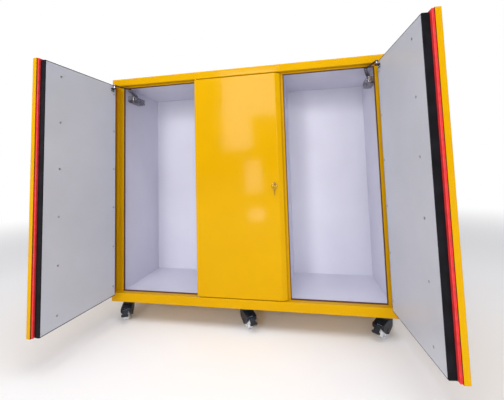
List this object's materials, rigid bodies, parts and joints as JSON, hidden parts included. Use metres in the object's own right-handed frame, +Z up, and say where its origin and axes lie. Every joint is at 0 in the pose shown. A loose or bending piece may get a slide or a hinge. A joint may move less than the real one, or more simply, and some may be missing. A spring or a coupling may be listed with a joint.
{
  "type": "flammable storage cabinet",
  "caption": "Wide fire-resistant storage cabinet on castors, with thick sealed plug doors, separate bays, door closers and a key lock.",
  "frame": {"origin": "on the floor, at the middle of the cabinet's bounding box with both outer doors open", "axes": "+X to the viewer's right along the front, +Y from the front to the back, +Z up"},
  "size_m": [1.2608, 0.805, 1.084],
  "materials": {
    "body_yellow": "gloss enamel",
    "white_liner": "smooth white laminate",
    "fire_board": "raw calcium silicate board",
    "door_edge": "black edging",
    "red_seal": "heat-swelling seal",
    "dark_strip": "dark sealing strip",
    "screw_steel": "zinc plated",
    "pin_steel": "ground steel",
    "lock_metal": "satin brass",
    "key_metal": "nickel plated brass",
    "closer_metal": "silver painted casting",
    "closer_link": "dark plated steel",
    "castor_plate": "zinc plated",
    "castor_black": "black moulded hood",
    "castor_wheel": "pale nylon"
  },
  "bodies": {
    "cabinet": {"left_side_panel": "body_yellow", "right_side_panel": "body_yellow", "top_panel": "body_yellow", "base_panel": "body_yellow", "back_panel": "body_yellow", "wall_fire_boards": "fire_board", "left_liner": "white_liner", "right_liner": "white_liner", "back_liner": "white_liner", "ceiling_liner": "white_liner", "floor_liner": "white_liner", "partitions": "white_liner", "top_rail": "body_yellow", "bottom_rail": "body_yellow", "posts": "body_yellow", "mullions": "body_yellow", "opening_strips": "dark_strip", "pivot_pins": "pin_steel", "left_closer": "closer_metal", "right_closer": "closer_metal", "castor_plates": "castor_plate", "rear_castor_forks": "castor_black"},
    "left_door": {"left_door_pan": "body_yellow", "left_door_seal": "red_seal", "left_door_core": "door_edge", "left_door_liner": "white_liner", "left_door_screws": "screw_steel", "left_door_bracket": "closer_metal"},
    "middle_door": {"middle_door_pan": "body_yellow", "middle_door_seal": "red_seal", "middle_door_core": "door_edge", "middle_door_liner": "white_liner", "middle_door_screws": "screw_steel", "lock_body": "lock_metal"},
    "right_door": {"right_door_pan": "body_yellow", "right_door_seal": "red_seal", "right_door_core": "door_edge", "right_door_liner": "white_liner", "right_door_screws": "screw_steel", "right_door_bracket": "closer_metal"},
    "lock": {"lock_plug": "lock_metal", "lock_cam": "lock_metal", "lock_key": "key_metal"},
    "spare_key": {"spare_key": "key_metal"},
    "left_arm": {"left_closer_arm": "closer_metal"},
    "left_link": {"left_closer_link": "closer_link"},
    "right_arm": {"right_closer_arm": "closer_metal"},
    "right_link": {"right_closer_link": "closer_link"},
    "front_left_fork": {"front_left_fork": "castor_black"},
    "front_left_pedal": {"front_left_pedal": "castor_black"},
    "front_left_wheel": {"front_left_wheel": "castor_wheel"},
    "rear_left_wheel": {"rear_left_wheel": "castor_wheel"},
    "front_middle_fork": {"front_middle_fork": "castor_black"},
    "front_middle_pedal": {"front_middle_pedal": "castor_black"},
    "front_middle_wheel": {"front_middle_wheel": "castor_wheel"},
    "rear_middle_wheel": {"rear_middle_wheel": "castor_wheel"},
    "front_right_fork": {"front_right_fork": "castor_black"},
    "front_right_pedal": {"front_right_pedal": "castor_black"},
    "front_right_wheel": {"front_right_wheel": "castor_wheel"},
    "rear_right_wheel": {"rear_right_wheel": "castor_wheel"}
  },
  "joints": [
    {"name": "left_door_hinge", "type": "hinge", "parent": "cabinet", "child": "left_door", "pos_m": [-0.5895, 0.00296, 0.584], "axis": [0, 0, 1], "range_deg": [0, 95.2]},
    {"name": "right_door_hinge", "type": "hinge", "parent": "cabinet", "child": "right_door", "pos_m": [0.5895, 0.00296, 0.584], "axis": [0, 0, -1], "range_deg": [0, 95]},
    {"name": "middle_door_hinge", "type": "hinge", "parent": "cabinet", "child": "middle_door", "pos_m": [-0.1915, 0.00296, 0.584], "axis": [0, 0, -1], "range_deg": [0, 95]},
    {"name": "lock_turn", "type": "hinge", "parent": "middle_door", "child": "lock", "pos_m": [0.1425, -0.00254, 0.584], "axis": [0, 1, 0], "range_deg": [0, 90]},
    {"name": "spare_key_swing", "type": "hinge", "parent": "middle_door", "child": "spare_key", "pos_m": [0.1425, -0.01054, 0.584], "axis": [0, 1, 0], "range_deg": [-60, 60]},
    {"name": "left_arm_turn", "type": "hinge", "parent": "cabinet", "child": "left_arm", "pos_m": [-0.5525, 0.11946, 1.029], "axis": [0, 0, 1], "range_deg": [0, 57.91]},
    {"name": "left_link_turn", "type": "hinge", "parent": "left_door", "child": "left_link", "pos_m": [-0.54532, -0.06332, 1.037], "axis": [0, 0, 1], "range_deg": [-143.43, 0]},
    {"name": "right_arm_turn", "type": "hinge", "parent": "cabinet", "child": "right_arm", "pos_m": [0.5525, 0.11946, 1.029], "axis": [0, 0, -1], "range_deg": [0, 57.69]},
    {"name": "right_link_turn", "type": "hinge", "parent": "right_door", "child": "right_link", "pos_m": [0.54509, -0.06316, 1.037], "axis": [0, 0, -1], "range_deg": [-143.12, 0]},
    {"name": "front_left_swivel", "type": "hinge", "parent": "cabinet", "child": "front_left_fork", "pos_m": [-0.5455, 0.04746, 0.076], "axis": [0, 0, 1], "continuous": true},
    {"name": "front_left_roll", "type": "hinge", "parent": "front_left_fork", "child": "front_left_wheel", "pos_m": [-0.53798, 0.02678, 0.03], "axis": [0.9397, 0.342, 0], "continuous": true},
    {"name": "front_left_brake", "type": "hinge", "parent": "front_left_fork", "child": "front_left_pedal", "pos_m": [-0.52737, -0.00235, 0.051], "axis": [-0.9397, -0.342, 0], "range_deg": [0, 25]},
    {"name": "rear_left_roll", "type": "hinge", "parent": "cabinet", "child": "rear_left_wheel", "pos_m": [-0.5455, 0.35446, 0.03], "axis": [1, 0, 0], "continuous": true},
    {"name": "front_middle_swivel", "type": "hinge", "parent": "cabinet", "child": "front_middle_fork", "pos_m": [0, 0.04746, 0.076], "axis": [0, 0, 1], "continuous": true},
    {"name": "front_middle_roll", "type": "hinge", "parent": "front_middle_fork", "child": "front_middle_wheel", "pos_m": [0.01262, 0.02944, 0.03], "axis": [0.8192, 0.5736, 0], "continuous": true},
    {"name": "front_middle_brake", "type": "hinge", "parent": "front_middle_fork", "child": "front_middle_pedal", "pos_m": [0.0304, 0.00404, 0.051], "axis": [-0.8192, -0.5736, 0], "range_deg": [0, 25]},
    {"name": "rear_middle_roll", "type": "hinge", "parent": "cabinet", "child": "rear_middle_wheel", "pos_m": [0, 0.35446, 0.03], "axis": [1, 0, 0], "continuous": true},
    {"name": "front_right_swivel", "type": "hinge", "parent": "cabinet", "child": "front_right_fork", "pos_m": [0.5455, 0.04746, 0.076], "axis": [0, 0, 1], "continuous": true},
    {"name": "front_right_roll", "type": "hinge", "parent": "front_right_fork", "child": "front_right_wheel", "pos_m": [0.53136, 0.0306, 0.03], "axis": [0.766, -0.6428, 0], "continuous": true},
    {"name": "front_right_brake", "type": "hinge", "parent": "front_right_fork", "child": "front_right_pedal", "pos_m": [0.51143, 0.00686, 0.051], "axis": [-0.766, 0.6428, 0], "range_deg": [0, 25]},
    {"name": "rear_right_roll", "type": "hinge", "parent": "cabinet", "child": "rear_right_wheel", "pos_m": [0.5455, 0.35446, 0.03], "axis": [1, 0, 0], "continuous": true}
  ],
  "couplings": [
    {"joint": "left_arm_turn", "follows": "left_door_hinge", "ratio": 0.60825},
    {"joint": "left_link_turn", "follows": "left_door_hinge", "ratio": -1.5066},
    {"joint": "right_arm_turn", "follows": "right_door_hinge", "ratio": 0.60723},
    {"joint": "right_link_turn", "follows": "right_door_hinge", "ratio": -1.5066}
  ]
}
